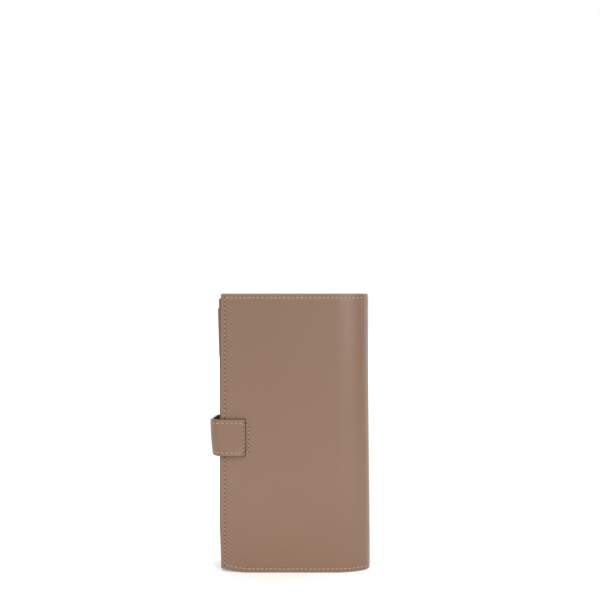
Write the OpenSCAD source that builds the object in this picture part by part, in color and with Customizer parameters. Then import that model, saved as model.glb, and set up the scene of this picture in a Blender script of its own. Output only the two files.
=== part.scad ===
// Long bifold wallet with a tab closure, standing on its short end.
// +X runs from the open edge to the spine, +Y from the back cover to the front cover, +Z up.
// The origin is under the middle of the whole wallet, on the surface that it stands on.

/* [Covers] */
// Height of the covers, the wallet's long side
cover_h = 190; // [150:1:230]
// Width of the closed wallet, from its open edge to the tip of the spine
cover_w = 102; // [85:1:130]
// Thickness of the outer leather
cover_t = 1.4; // [1:0.1:2]
// Thickness of the board that stiffens each cover
board_t = 0.6; // [0.4:0.1:1]
// Thickness of the lining behind each board
lining_t = 0.8; // [0.5:0.1:1.2]
// Radius of the covers' corners at the open edge
corner_r = 2; // [1:0.5:6]
// Distance from a cover's edge to its row of stitches
stitch_inset = 2.7; // [2:0.1:4]

/* [Card side] */
// Number of stepped card pockets in the front half
pocket_count = 6; // [2:1:6]
// Distance from one card pocket's mouth to the next
pocket_step = 9; // [7:0.5:10]
// Thickness of one pocket wall
pocket_t = 1; // [0.6:0.1:1.2]
// Slack of the full length slip pocket behind the cards
slip_gap = 1.2; // [0.8:0.1:3]

/* [Coin side] */
// Slack of the note pocket behind the coin pocket
note_gap = 1.6; // [1.2:0.1:3]
// Inside depth of the empty coin pocket
coin_gap = 3.6; // [3:0.1:3.9]
// How far the coin pocket's back wall stands out of the open edge at its top
back_leaf_out = 1.8; // [0:0.1:2]
// How far the coin pocket's front wall stands out of the open edge at its top
front_leaf_out = 3.1; // [0:0.1:3.2]
// How far the coin pocket's back wall ends below the top of the covers
back_leaf_drop = 3; // [2:0.5:12]
// How far the coin pocket's front wall ends below the top of the covers
front_leaf_drop = 9.7; // [2:0.5:12]

/* [Zip] */
// Distance from the tip of the spine to the middle of the zip's teeth
zip_from_spine = 24; // [22:0.5:30]
// Distance from the ends of the covers to the ends of the zip
zip_margin = 15; // [12:0.5:25]
// Width of one row of zip teeth
tooth_w = 1.6; // [1.2:0.1:1.7]
// Thickness of the rows of zip teeth
tooth_t = 1.8; // [1.4:0.1:2.2]
// Thickness of the zip tape
tape_t = 0.5; // [0.4:0.1:0.6]
// Length of the zip slider
slider_l = 10; // [8:0.5:12]
// Length of the zip puller from its pivot
puller_l = 14; // [8:0.5:14]
// Width of the zip puller
puller_w = 4.4; // [3:0.1:4.4]

/* [Tab] */
// Width of the closing tab
tab_w = 25.6; // [20:0.1:32]
// Height of the middle of the tab
tab_z = 92; // [60:1:120]
// Thickness of the tab's outer leather
tab_leather_t = 1.1; // [0.8:0.1:1.4]
// Thickness of the tab's lining
tab_lining_t = 0.9; // [0.6:0.1:1.2]
// How far the tab's loop stands off the open edge, measured over the tab
loop_out = 6.5; // [5.8:0.1:10]
// Distance from the open edge to the slit that the tab is sewn into
slit_in = 16.7; // [12:0.1:25]
// How far the tab reaches over the front cover
tab_reach = 38; // [30:1:48]

/* [Snap] */
// Distance from the open edge to the middle of the snap
snap_in = 25; // [20:0.5:40]
// Radius of the snap's cap
cap_r = 6.2; // [5.5:0.1:8]
// Height of the snap's cap over the tab
cap_h = 1.6; // [1:0.1:2.5]
// Gap that the engaged snap leaves between the tab and the front cover
snap_gap = 2.6; // [2.5:0.1:4]
// Radius of the stud's head
stud_r = 2.5; // [2:0.1:3]

/* [Hidden] */
$fn = 64;

// clearances
fold_gap = 0.2;      // between the stiff pieces on the two sides of a fold
run_gap = 0.25;      // round the zip's moving slider
hole_gap = 0.1;      // round a rivet's barrel
half_gap = 1;        // from the thicker half's inner face to the middle plane
end_gap = 0.6;       // from a cover's end to the board and lining behind it
lining_inset = 0.5;  // from a cover's open edge to the lining behind it
board_inset = 1;     // from a cover's open edge to the board behind it
over = 1;            // how far a cutting block runs past the face that it cuts
bend_steps = 8;      // flats that each eighth of a circle is bent in

// thickness of each half, and the spine that goes round them
shell_t = cover_t + board_t + lining_t;
back_stack = shell_t + note_gap + 2 * pocket_t + coin_gap;
front_stack = shell_t + slip_gap + (pocket_count + 1) * pocket_t;
spine_r = max(back_stack, front_stack) + half_gap;
tab_t = tab_leather_t + tab_lining_t;
thread_t = 0.2;
thread_w = 0.5;
tab_row_gap = 1;     // from the tab to the ends of the back cover's row of stitches

// the middle of the whole wallet is at x = 0 and y = 0
back_proud = tab_t + thread_t;
front_proud = snap_gap + tab_t + cap_h;
spine_x = (cover_w + loop_out) / 2;
edge_x = spine_x - cover_w;
fold_x = spine_x - spine_r;
mid_y = (back_proud - front_proud) / 2;
back_y = mid_y - spine_r;
front_y = mid_y + spine_r;

// planes between the layers of the back half
back_board_y = back_y + cover_t;
back_lining_y = back_board_y + board_t;
note_y = back_lining_y + lining_t;
back_wall_y = note_y + note_gap;
coin_y = back_wall_y + pocket_t;
front_wall_y = coin_y + coin_gap;

// planes between the layers of the front half
front_board_y = front_y - cover_t;
front_lining_y = front_board_y - board_t;
slip_y = front_lining_y - lining_t;
slip_wall_y = slip_y - slip_gap;
cards_y = slip_wall_y - pocket_t;

// pockets
panel_inset = 3;         // from the covers' edges to the inner panels
panel_end_in = 4;        // from the fold to the inner panels
gusset_t = 1;
gusset_inset = 1;        // from the coin pocket walls' ends to the gusset
leaf_low_out = 1.2;      // how far the coin pocket's walls stand out, where they are upright
leaf_lean_l = 76;        // length below the covers' top in which those walls lean out
leaf_low_z = cover_h - leaf_lean_l;
first_mouth_in = 2;      // from the slip pocket's edge to the first card pocket's mouth
first_mouth_x = fold_x - panel_end_in - first_mouth_in;

// zip
zip_x = spine_x - zip_from_spine;
zip_y = coin_y + coin_gap / 2;
zip_low_z = zip_margin;
zip_high_z = cover_h - zip_margin;
tooth_gap = 0.5;         // from the zip's middle to each row of teeth, which the slider's neck runs in
tape_out = coin_gap / 2 + pocket_t;
tape_back = 8;           // how far the tape runs back over the coin pocket's walls
stop_l = 2.5;
plate_t = 0.9;
slider_half = tape_out + tape_t + run_gap;
slider_low_z = zip_low_z + stop_l + run_gap;
plate_x = zip_x + tooth_t / 2 + run_gap;
under_x = zip_x - tooth_t / 2 - run_gap;
mouth_x = under_x - plate_t - 2 * run_gap;   // where the coin pocket's walls end
pin_r = 0.6;
pivot_x = plate_x + plate_t + pin_r + 2 * run_gap;
pivot_share = 0.45;      // of the slider's length, where the puller's pivot is
pivot_z = slider_low_z + pivot_share * slider_l;
puller_t = 1.1;
bridge_w = 1.6;
bridge_t = 0.8;

// tab
tab_low_z = tab_z - tab_w / 2;
tab_high_z = tab_z + tab_w / 2;
bend_r = loop_out;       // the tab's two bends start level with the open edge
tab_back_y = back_y - tab_t;
tab_front_y = front_y + snap_gap + tab_t;
back_bend = [edge_x, tab_back_y + bend_r];
front_bend = [edge_x, tab_front_y - bend_r];
slit_x = edge_x + slit_in;
slit_w = 1;
tongue_l = 7;            // the tab's sewn end behind the back cover
tongue_in = 1.5;         // how much narrower that end is on each side
tip_corner_r = 3;
tab_stitch_in = 2.6;

// snap
snap_x = edge_x + snap_in;
barrel_r = 1.3;
flange_r = 5;            // of the post, behind the front cover
stud_flange_r = 4.6;
flange_t = 0.5;
socket_r = 5.2;
socket_plate_t = 0.4;
socket_h = 1.95;
lip_t = 0.35;            // of the socket, below the spring
spring_t = 0.4;
spring_w = 0.8;
spring_play = 0.05;      // between the spring and the stud's head
groove_depth = 0.6;      // of the socket's groove, which the spring opens into
neck_in = 0.5;           // how much the stud's neck is slimmer than its head
head_t = 0.6;
socket_low_y = front_y + snap_gap - socket_h;
spring_y = socket_low_y + lip_t;
head_y = spring_y + spring_t + spring_play;

card_pockets = [for (number = [1:pocket_count]) str("card_pocket_", number)];

// ---- shapes that repeat ----

// a block between two corners
module block(low, high) {
    translate(low) cube(high - low);
}

// points along a circle, from one angle to another
function arc(centre, r, from, to) = [
    for (i = [0:bend_steps])
        let (a = from + (to - from) * i / bend_steps)
            [centre[0] + r * cos(a), centre[1] + r * sin(a)]
];

// angle at which an end face at radius r stands half a fold_gap clear of its neighbour's
function gap_angle(r) = asin(fold_gap / 2 / r);

// an upright sheet with the section given by its outer points and its inner points
module bent_sheet(outer, inner, low_z, high_z) {
    backwards = [for (i = [len(inner) - 1:-1:0]) inner[i]];
    translate([0, 0, low_z]) linear_extrude(high_z - low_z) polygon(concat(outer, backwards));
}

// what rounding takes off a sheet's corner at [x, z], towards the sides given by the signs
module corner_waste(x, z, signs, r, y) {
    centre = [x - signs[0] * r, z - signs[1] * r];
    size = r + over;
    depth = y[1] - y[0] + 2 * over;
    difference() {
        translate([centre[0] + signs[0] * size / 2, (y[0] + y[1]) / 2,
                   centre[1] + signs[1] * size / 2])
            cube([size, depth, size], center = true);
        translate([centre[0], y[0] - 2 * over, centre[1]])
            rotate([-90, 0, 0]) cylinder(r = r, h = depth + 2 * over);
    }
}

// a disc or barrel across the wallet, at the snap's middle
module snap_disc(r, y) {
    translate([snap_x, y[0], tab_z]) rotate([-90, 0, 0]) cylinder(r = r, h = y[1] - y[0]);
}

// ---- covers ----

// one layer of a half, flat from x to the fold and then an eighth of the spine's circle
// (side is -1 for the back half and 1 for the front half, radii are from the spine's middle)
module half_layer(side, x, r_out, r_in, inset_z) {
    middle = [fold_x, mid_y];
    bent_sheet(concat([[x, mid_y + side * r_out]],
                      arc(middle, r_out, side * 90, side * (45 + gap_angle(r_out)))),
               concat([[x, mid_y + side * r_in]],
                      arc(middle, r_in, side * 90, side * (45 + gap_angle(r_in)))),
               inset_z, cover_h - inset_z);
}

// outer leather of one half, with its corners rounded at the open edge
module cover(side) {
    y = side < 0 ? [back_y, back_board_y] : [front_board_y, front_y];
    difference() {
        half_layer(side, edge_x, spine_r, spine_r - cover_t, 0);
        corner_waste(edge_x, 0, [-1, -1], corner_r, y);
        corner_waste(edge_x, cover_h, [-1, 1], corner_r, y);
    }
}

module back_cover() {
    color("rosybrown") difference() {
        cover(-1);
        // slit for the tab's sewn end
        block([slit_x - slit_w, back_y - over, tab_low_z + tongue_in - hole_gap],
              [slit_x + hole_gap, back_board_y + over, tab_high_z - tongue_in + hole_gap]);
    }
}

module front_cover() {
    color("rosybrown") difference() {
        cover(1);
        snap_disc(barrel_r + hole_gap, [front_board_y - over, front_y + over]);
    }
}

// stiff board behind the leather, cut out where the tab's end is sewn on
module back_board() {
    color("tan") difference() {
        block([edge_x + board_inset, back_board_y, end_gap],
              [fold_x, back_lining_y, cover_h - end_gap]);
        block([slit_x - slit_w - hole_gap, back_board_y - over, tab_low_z + tongue_in - hole_gap],
              [slit_x + tongue_l + hole_gap, back_lining_y + over,
               tab_high_z - tongue_in + hole_gap]);
    }
}

module front_board() {
    color("tan") difference() {
        block([edge_x + board_inset, front_lining_y, end_gap],
              [fold_x, front_board_y, cover_h - end_gap]);
        snap_disc(flange_r + hole_gap, [front_lining_y - over, front_board_y + over]);
    }
}

// lining of one half, which follows the leather into the spine
module back_lining() {
    color("saddlebrown")
        half_layer(-1, edge_x + lining_inset, spine_r - cover_t - board_t, spine_r - shell_t,
                   end_gap);
}

module front_lining() {
    color("saddlebrown")
        half_layer(1, edge_x + lining_inset, spine_r - cover_t - board_t, spine_r - shell_t,
                   end_gap);
}

// row of thread along a cover's top, open edge and bottom, for the y range that it lies in
module cover_thread(y) {
    near_x = edge_x + stitch_inset - thread_w / 2;
    low_z = stitch_inset - thread_w / 2;
    high_z = cover_h - low_z;
    color("tan") {
        block([near_x, y[0], low_z], [near_x + thread_w, y[1], high_z]);
        for (row_z = [low_z, high_z - thread_w])
            block([near_x + thread_w, y[0], row_z], [fold_x, y[1], row_z + thread_w]);
    }
}

// the tab covers the middle of the back cover's row, so that row is in two parts
module back_thread() {
    difference() {
        cover_thread([back_y - thread_t, back_y]);
        block([edge_x, back_y - over, tab_low_z - tab_row_gap],
              [slit_x, back_y + over, tab_high_z + tab_row_gap]);
    }
}

module front_thread() {
    cover_thread([front_y, front_y + thread_t]);
}

// ---- spine ----

// one layer of the spine, between the two folds
module spine_layer(r_out, r_in, inset_z) {
    middle = [fold_x, mid_y];
    bent_sheet(arc(middle, r_out, gap_angle(r_out) - 45, 45 - gap_angle(r_out)),
               arc(middle, r_in, gap_angle(r_in) - 45, 45 - gap_angle(r_in)),
               inset_z, cover_h - inset_z);
}

module spine_leather() {
    color("rosybrown") spine_layer(spine_r, spine_r - cover_t, 0);
}

module spine_lining() {
    color("saddlebrown") spine_layer(spine_r - cover_t, spine_r - cover_t - lining_t, end_gap);
}

// ---- card side ----

module slip_pocket() {
    color("rosybrown")
        block([edge_x + panel_inset, cards_y, panel_inset],
              [fold_x - panel_end_in, slip_wall_y, cover_h - panel_inset]);
}

// one card pocket wall: number 1 lies on the slip pocket and has its mouth nearest the spine
module card_pocket(number) {
    card_mouth_x = first_mouth_x - (number - 1) * pocket_step;
    wall_y = cards_y - (number - 1) * pocket_t;
    color("rosybrown")
        block([edge_x + panel_inset, wall_y - pocket_t, panel_inset],
              [card_mouth_x, wall_y, cover_h - panel_inset]);
}

// ---- coin side ----

// one wall of the coin pocket, whose free side leans out of the open edge towards its top
module coin_wall(y, out, drop) {
    color("rosybrown") translate([0, y + pocket_t, 0]) rotate([90, 0, 0])
        linear_extrude(pocket_t) polygon([
            [edge_x - leaf_low_out, panel_inset],
            [mouth_x, panel_inset],
            [mouth_x, cover_h - drop],
            [edge_x - out, cover_h - drop],
            [edge_x - leaf_low_out, leaf_low_z]
        ]);
}

module coin_back_wall() {
    coin_wall(back_wall_y, back_leaf_out, back_leaf_drop);
}

module coin_front_wall() {
    coin_wall(front_wall_y, front_leaf_out, front_leaf_drop);
}

// folded strip that closes the coin pocket at its open edge side and at both ends
module coin_gusset() {
    low = [edge_x + panel_inset, coin_y, panel_inset + gusset_inset];
    high = [mouth_x - run_gap, front_wall_y,
            cover_h - max(back_leaf_drop, front_leaf_drop) - gusset_inset];
    color("saddlebrown") difference() {
        block(low, high);
        block([low[0] + gusset_t, low[1] - over, low[2] + gusset_t],
              [high[0] + over, high[1] + over, high[2] - gusset_t]);
    }
}

// ---- zip ----

// tape of one side, from the teeth round onto the coin pocket's wall
module zip_tape(side) {
    inner = tooth_gap + tooth_w;
    color("dimgray") translate([zip_x, zip_y, 0]) mirror([0, side < 0 ? 1 : 0, 0]) {
        block([-tape_t / 2, inner, zip_low_z], [tape_t / 2, tape_out + tape_t, zip_high_z]);
        block([-tape_back, tape_out, zip_low_z], [-tape_t / 2, tape_out + tape_t, zip_high_z]);
    }
}

// one row of teeth, drawn as the closed strip that its interlocked teeth fill
module zip_teeth(side) {
    color("goldenrod") translate([zip_x, zip_y, 0]) mirror([0, side < 0 ? 1 : 0, 0])
        block([-tooth_t / 2, tooth_gap, zip_low_z + stop_l],
              [tooth_t / 2, tooth_gap + tooth_w, zip_high_z - stop_l]);
}

module zip_stop(low_z) {
    half = tooth_gap + tooth_w;
    color("goldenrod")
        block([zip_x - tooth_t / 2, zip_y - half, low_z],
              [zip_x + tooth_t / 2, zip_y + half, low_z + stop_l]);
}

// two plates over and under the teeth, a neck between the rows and a bridge for the puller
module zip_slider() {
    under_half = tape_out - run_gap;
    high_z = slider_low_z + slider_l;
    neck_half = tooth_gap / 2;
    neck_l = 3;
    foot_l = 1.5;
    eye_half = pin_r + run_gap;
    color("goldenrod") {
        // outer plate with its two side flanges
        block([plate_x, zip_y - slider_half, slider_low_z],
              [plate_x + plate_t, zip_y + slider_half, high_z]);
        for (side = [-1, 1])
            translate([0, zip_y, 0]) mirror([0, side < 0 ? 1 : 0, 0])
                block([zip_x + tape_t / 2 + run_gap, tooth_gap + tooth_w + run_gap, slider_low_z],
                      [plate_x, slider_half, high_z]);
        // inner plate, inside the coin pocket's mouth
        block([under_x - plate_t, zip_y - under_half, slider_low_z],
              [under_x, zip_y + under_half, high_z]);
        // neck
        block([under_x, zip_y - neck_half, slider_low_z],
              [plate_x, zip_y + neck_half, slider_low_z + neck_l]);
        // bridge: two feet and a top
        for (foot_z = [pivot_z - eye_half - foot_l, pivot_z + eye_half])
            block([plate_x + plate_t, zip_y - bridge_w / 2, foot_z],
                  [pivot_x + eye_half, zip_y + bridge_w / 2, foot_z + foot_l]);
        block([pivot_x + eye_half, zip_y - bridge_w / 2, pivot_z - eye_half - foot_l],
              [pivot_x + eye_half + bridge_t, zip_y + bridge_w / 2, pivot_z + eye_half + foot_l]);
    }
}

// puller that hangs from a pin under the slider's bridge
module zip_puller() {
    bridge_side = bridge_w / 2 + run_gap;
    arm_w = puller_w / 2 - bridge_side;
    arm_l = 4;
    tip_r = puller_w / 2;
    hole_r = tip_r / 2;
    color("goldenrod") translate([pivot_x, zip_y, pivot_z]) {
        // pin
        translate([0, -puller_w / 2, 0]) rotate([-90, 0, 0]) cylinder(r = pin_r, h = puller_w);
        // two arms beside the bridge
        for (side = [-1, 1])
            translate([-puller_t / 2, side * (bridge_side + arm_w / 2) - arm_w / 2, -arm_l])
                cube([puller_t, arm_w, arm_l]);
        // blade with a round end
        difference() {
            union() {
                block([-puller_t / 2, -puller_w / 2, tip_r - puller_l],
                      [puller_t / 2, puller_w / 2, -arm_l]);
                translate([-puller_t / 2, 0, tip_r - puller_l])
                    rotate([0, 90, 0]) cylinder(r = tip_r, h = puller_t);
            }
            translate([-puller_t, 0, tip_r - puller_l])
                rotate([0, 90, 0]) cylinder(r = hole_r, h = 2 * puller_t);
        }
    }
}

// ---- tab ----
// Each layer of the tab is given by its depth range, measured in from the tab's outer face.

// section points of the flat stretch on the back cover and half of the back bend
function root_line(depth) = let (r = bend_r - depth) concat(
    [[slit_x, back_bend[1] - r]],
    arc(back_bend, r, -90, -135 + gap_angle(r))
);

// section points of the rest of the back bend, the stretch across the open edge and
// half of the front bend
function side_line(depth) = let (r = bend_r - depth) concat(
    arc(back_bend, r, 225 - gap_angle(r), 180),
    arc(front_bend, r, 180, 135 + gap_angle(r))
);

// section points of the rest of the front bend and the flat tip
function tip_line(depth) = let (r = bend_r - depth) concat(
    arc(front_bend, r, 135 - gap_angle(r), 90),
    [[edge_x + tab_reach, front_bend[1] + r]]
);

module tab_tip_layer(depth) {
    y = [front_bend[1] + bend_r - depth[1], front_bend[1] + bend_r - depth[0]];
    difference() {
        bent_sheet(tip_line(depth[0]), tip_line(depth[1]), tab_low_z, tab_high_z);
        corner_waste(edge_x + tab_reach, tab_low_z, [1, -1], tip_corner_r, y);
        corner_waste(edge_x + tab_reach, tab_high_z, [1, 1], tip_corner_r, y);
        snap_disc(barrel_r + hole_gap, [y[0] - over, y[1] + over]);
    }
}

// the outer leather also goes through the slit and is sewn down behind the back cover
module tab_root() {
    tongue_low_z = tab_low_z + tongue_in;
    tongue_high_z = tab_high_z - tongue_in;
    color("rosybrown") {
        bent_sheet(root_line(0), root_line(tab_leather_t), tab_low_z, tab_high_z);
        block([slit_x - slit_w + hole_gap, tab_back_y + tab_leather_t, tongue_low_z],
              [slit_x, back_lining_y, tongue_high_z]);
        block([slit_x, back_board_y, tongue_low_z],
              [slit_x + tongue_l, back_lining_y, tongue_high_z]);
    }
}

// the lining stops short of the slit, where the outer leather dives in
module tab_root_lining() {
    color("saddlebrown") difference() {
        bent_sheet(root_line(tab_leather_t), root_line(tab_t), tab_low_z, tab_high_z);
        block([slit_x - slit_w, tab_back_y - over, tab_low_z - over],
              [slit_x + over, back_y + over, tab_high_z + over]);
    }
}

module tab_side() {
    color("rosybrown")
        bent_sheet(side_line(0), side_line(tab_leather_t), tab_low_z, tab_high_z);
}

module tab_side_lining() {
    color("saddlebrown")
        bent_sheet(side_line(tab_leather_t), side_line(tab_t), tab_low_z, tab_high_z);
}

module tab_tip() {
    color("rosybrown") tab_tip_layer([0, tab_leather_t]);
}

module tab_tip_lining() {
    color("saddlebrown") tab_tip_layer([tab_leather_t, tab_t]);
}

// two rows of thread along the tab and one across it, at x and in the y range given
module tab_thread(x, y, cross_x) {
    low_z = tab_low_z + tab_stitch_in;
    high_z = tab_high_z - tab_stitch_in;
    color("tan") {
        for (row_z = [low_z, high_z - thread_w])
            block([x[0], y[0], row_z], [x[1], y[1], row_z + thread_w]);
        block([cross_x, y[0], low_z + thread_w], [cross_x + thread_w, y[1], high_z - thread_w]);
    }
}

module tab_root_thread() {
    tab_thread([edge_x, slit_x - slit_w], [tab_back_y - thread_t, tab_back_y],
               slit_x - tab_stitch_in);
}

module tab_tip_thread() {
    end_x = edge_x + tab_reach - tab_stitch_in;
    tab_thread([edge_x, end_x], [tab_front_y, tab_front_y + thread_t], end_x - thread_w);
}

// ---- snap ----

// domed cap on the tab, whose barrel goes through the tab into the socket
module snap_cap() {
    rim = 0.5;
    bands = 8;
    dome = [for (i = [0:bands])
        [cap_r * cos(90 * i / bands), rim + (cap_h - rim) * sin(90 * i / bands)]];
    color("goldenrod") translate([snap_x, tab_front_y, tab_z]) rotate([-90, 0, 0]) {
        rotate_extrude() polygon(concat([[0, 0], [cap_r, 0]], dome));
        translate([0, 0, -tab_t - socket_plate_t])
            cylinder(r = barrel_r, h = tab_t + socket_plate_t);
    }
}

// ring under the tab that the stud's head goes into
module snap_socket() {
    high_y = front_y + snap_gap;
    bore_r = stud_r + 2 * run_gap;
    groove_r = bore_r + groove_depth;
    color("goldenrod") difference() {
        snap_disc(socket_r, [socket_low_y, high_y]);
        snap_disc(bore_r, [front_y, high_y - socket_plate_t]);
        snap_disc(groove_r, [spring_y, spring_y + spring_t]);
        snap_disc(barrel_r + hole_gap, [front_y, high_y + over]);
    }
}

// open spring ring in the socket's groove, which the stud's head spreads as it passes
module snap_spring() {
    slot_angle = 40;
    inner_r = stud_r - neck_in / 2;
    color("silver") translate([snap_x, spring_y + spring_t, tab_z]) rotate([90, 0, 0])
        rotate([0, 0, slot_angle / 2]) rotate_extrude(angle = 360 - slot_angle)
            translate([inner_r, 0]) square([spring_w, spring_t]);
}

// stud on the front cover, with a flange, a neck and a wider head above the spring
module snap_stud() {
    color("goldenrod") difference() {
        union() {
            snap_disc(stud_flange_r, [front_y, front_y + flange_t]);
            snap_disc(stud_r - neck_in, [front_y + flange_t, head_y]);
            snap_disc(stud_r, [head_y, head_y + head_t]);
        }
        snap_disc(barrel_r + hole_gap, [front_y - over, head_y + hole_gap]);
    }
}

// rivet that holds the stud, with its flange behind the front cover
module snap_post() {
    color("silver") {
        snap_disc(flange_r, [front_board_y - flange_t, front_board_y]);
        snap_disc(barrel_r, [front_board_y, head_y]);
    }
}

back_cover();
back_board();
back_lining();
back_thread();
coin_back_wall();
coin_front_wall();
coin_gusset();
zip_tape(-1);  // zip_tape_back
zip_tape(1);  // zip_tape_front
zip_teeth(-1);  // zip_teeth_back
zip_teeth(1);  // zip_teeth_front
zip_stop(zip_low_z);  // zip_bottom_stop
zip_stop(zip_high_z - stop_l);  // zip_top_stop
zip_slider();
zip_puller();
spine_leather();
spine_lining();
front_cover();
front_board();
front_lining();
front_thread();
slip_pocket();
for (number = [1:pocket_count])
    card_pocket(number);
tab_root();
tab_root_lining();
tab_root_thread();
tab_side();
tab_side_lining();
tab_tip();
tab_tip_lining();
tab_tip_thread();
snap_cap();
snap_socket();
snap_spring();
snap_stud();
snap_post();
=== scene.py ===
import math
import random

import bpy
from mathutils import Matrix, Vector


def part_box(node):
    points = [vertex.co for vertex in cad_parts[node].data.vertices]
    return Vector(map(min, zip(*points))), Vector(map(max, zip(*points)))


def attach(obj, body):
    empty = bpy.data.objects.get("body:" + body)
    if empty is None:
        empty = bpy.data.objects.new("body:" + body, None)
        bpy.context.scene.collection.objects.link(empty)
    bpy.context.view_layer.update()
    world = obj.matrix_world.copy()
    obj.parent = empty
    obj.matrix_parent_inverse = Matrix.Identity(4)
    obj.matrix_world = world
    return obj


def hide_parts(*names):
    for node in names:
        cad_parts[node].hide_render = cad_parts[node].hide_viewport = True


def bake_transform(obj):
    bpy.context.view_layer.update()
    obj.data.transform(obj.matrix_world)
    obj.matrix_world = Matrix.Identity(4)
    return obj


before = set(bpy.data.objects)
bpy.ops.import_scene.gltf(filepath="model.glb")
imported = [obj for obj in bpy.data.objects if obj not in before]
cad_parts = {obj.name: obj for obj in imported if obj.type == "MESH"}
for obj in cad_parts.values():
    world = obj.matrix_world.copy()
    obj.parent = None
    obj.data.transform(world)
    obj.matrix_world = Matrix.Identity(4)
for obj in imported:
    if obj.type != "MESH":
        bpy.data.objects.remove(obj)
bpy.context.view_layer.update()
random.seed(7)

mm = 0.001
uvUnit = 100  # millimetres of leather to one unit of UV


def corners(node):
    # a node's box, in millimetres
    low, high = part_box(node)
    return low / mm, high / mm


backLow, backHigh = corners("back_cover")
frontHigh = corners("front_cover")[1]
spineHigh = corners("spine_leather")[1]
edgeX = backLow.x
backY = backLow.y
frontY = frontHigh.y
coverHeight = backHigh.z
spineX = spineHigh.x
spineRadius = (frontY - backY) / 2
foldX = spineX - spineRadius


def paint(hexCode):
    # sRGB hex to the linear colour that the shader wants
    channels = [int(hexCode[i:i + 2], 16) / 255 for i in (0, 2, 4)]
    linear = [c / 12.92 if c <= 0.04045 else ((c + 0.055) / 1.055) ** 2.4 for c in channels]
    return (*linear, 1)


def perMm(size):
    # texture scale that repeats once in this many millimetres of UV
    return uvUnit / size


def bandsPerMm(size):
    # a wave texture draws 3.2 bands where others draw one, and each band is drawn
    # 1.9 times as wide as it is, so that it shows
    return perMm(size) / 6


def ease(t):
    # from 0 to 1, starting and ending gently
    t = min(max(t, 0), 1)
    return t * t * (3 - 2 * t)


def bell(distance, width):
    # 1 in the middle, falling away to nothing on both sides
    return math.exp(-(distance / width) ** 2)


def setSockets(tree, node, values):
    # links the values that are sockets, and sets the others as constants
    for key, value in values.items():
        if isinstance(value, bpy.types.NodeSocket):
            tree.links.new(value, node.inputs[key])
        else:
            node.inputs[key].default_value = value


def addNode(tree, kind, settings=None, inputs=None):
    node = tree.nodes.new(kind)
    for key, value in (settings or {}).items():
        setattr(node, key, value)
    setSockets(tree, node, inputs or {})
    return node


def newMaterial(name):
    material = bpy.data.materials.new(name)
    material.use_nodes = True
    tree = material.node_tree
    return material, tree, tree.nodes["Principled BSDF"]


def settle(piece, nodes, body=None):
    # which nodes a piece stands for, and the body that it rides on
    if body:
        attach(piece, body)
    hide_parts(*nodes)


def foldBetween(pieces):
    # bakes each piece's transform into its mesh
    for piece in pieces:
        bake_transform(piece)


def buildMesh(name, points, faces, materials, faceMaterials=None, uvs=None, nearEdge=None):
    # points are in millimetres
    mesh = bpy.data.meshes.new(name)
    mesh.from_pydata([(x * mm, y * mm, z * mm) for x, y, z in points], [], faces)
    for material in materials:
        mesh.materials.append(material)
    if faceMaterials:
        mesh.polygons.foreach_set("material_index", faceMaterials)
    mesh.polygons.foreach_set("use_smooth", [True] * len(faces))
    if uvs:
        layer = mesh.uv_layers.new(name="UVMap")
        for loop in mesh.loops:
            u, v = uvs[loop.vertex_index]
            layer.data[loop.index].uv = (u / uvUnit, v / uvUnit)
    if nearEdge:
        attribute = mesh.attributes.new("nearEdge", "FLOAT", "POINT")
        attribute.data.foreach_set("value", nearEdge)
    mesh.update()
    obj = bpy.data.objects.new(name, mesh)
    bpy.context.scene.collection.objects.link(obj)
    return obj


def leatherMaterial(name, recipe):
    material, tree, shader = newMaterial(name)
    coords = addNode(tree, "ShaderNodeTexCoord").outputs["UV"]
    blotch = addNode(tree, "ShaderNodeTexNoise", inputs={
        "Vector": coords, "Scale": perMm(recipe["blotch"]), "Detail": 3.0, "Roughness": 0.55})
    pores = addNode(tree, "ShaderNodeTexVoronoi", {"feature": "F1"}, {
        "Vector": coords, "Scale": perMm(recipe["pore"]), "Randomness": 0.9})
    wrinkles = addNode(tree, "ShaderNodeTexNoise", inputs={
        "Vector": coords, "Scale": perMm(recipe["wrinkle"]), "Detail": 5.0, "Distortion": 0.6})
    nearEdge = addNode(tree, "ShaderNodeAttribute", {"attribute_name": "nearEdge"})
    toned = addNode(tree, "ShaderNodeMix", {"data_type": "RGBA"}, {
        0: blotch.outputs["Fac"], 6: paint(recipe["dark"]), 7: paint(recipe["light"])})
    wearAmount = addNode(tree, "ShaderNodeMath", {"operation": "MULTIPLY"}, {
        0: nearEdge.outputs["Fac"], 1: recipe["edgeWear"]})
    worn = addNode(tree, "ShaderNodeMix", {"data_type": "RGBA"}, {
        0: wearAmount.outputs[0], 6: toned.outputs[2], 7: paint(recipe["edge"])})
    gloss = addNode(tree, "ShaderNodeMapRange", inputs={
        "Value": wrinkles.outputs["Fac"], "From Min": 0.3, "From Max": 0.7,
        "To Min": recipe["roughness"] - 0.05, "To Max": recipe["roughness"] + 0.06})
    grain = addNode(tree, "ShaderNodeBump", inputs={
        "Height": pores.outputs["Distance"], "Strength": recipe["grain"], "Distance": 0.05 * mm})
    creased = addNode(tree, "ShaderNodeBump", inputs={
        "Height": wrinkles.outputs["Fac"], "Strength": recipe["creasing"],
        "Distance": 0.15 * mm, "Normal": grain.outputs[0]})
    setSockets(tree, shader, {
        "Base Color": worn.outputs[2], "Roughness": gloss.outputs[0], "Normal": creased.outputs[0],
        "IOR": 1.46, "Specular IOR Level": recipe["specular"],
        "Sheen Weight": recipe["sheen"], "Sheen Roughness": 0.45,
        "Sheen Tint": paint(recipe["sheenTint"]),
        "Coat Weight": recipe["coat"], "Coat Roughness": recipe["coatRoughness"]})
    return material


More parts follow.
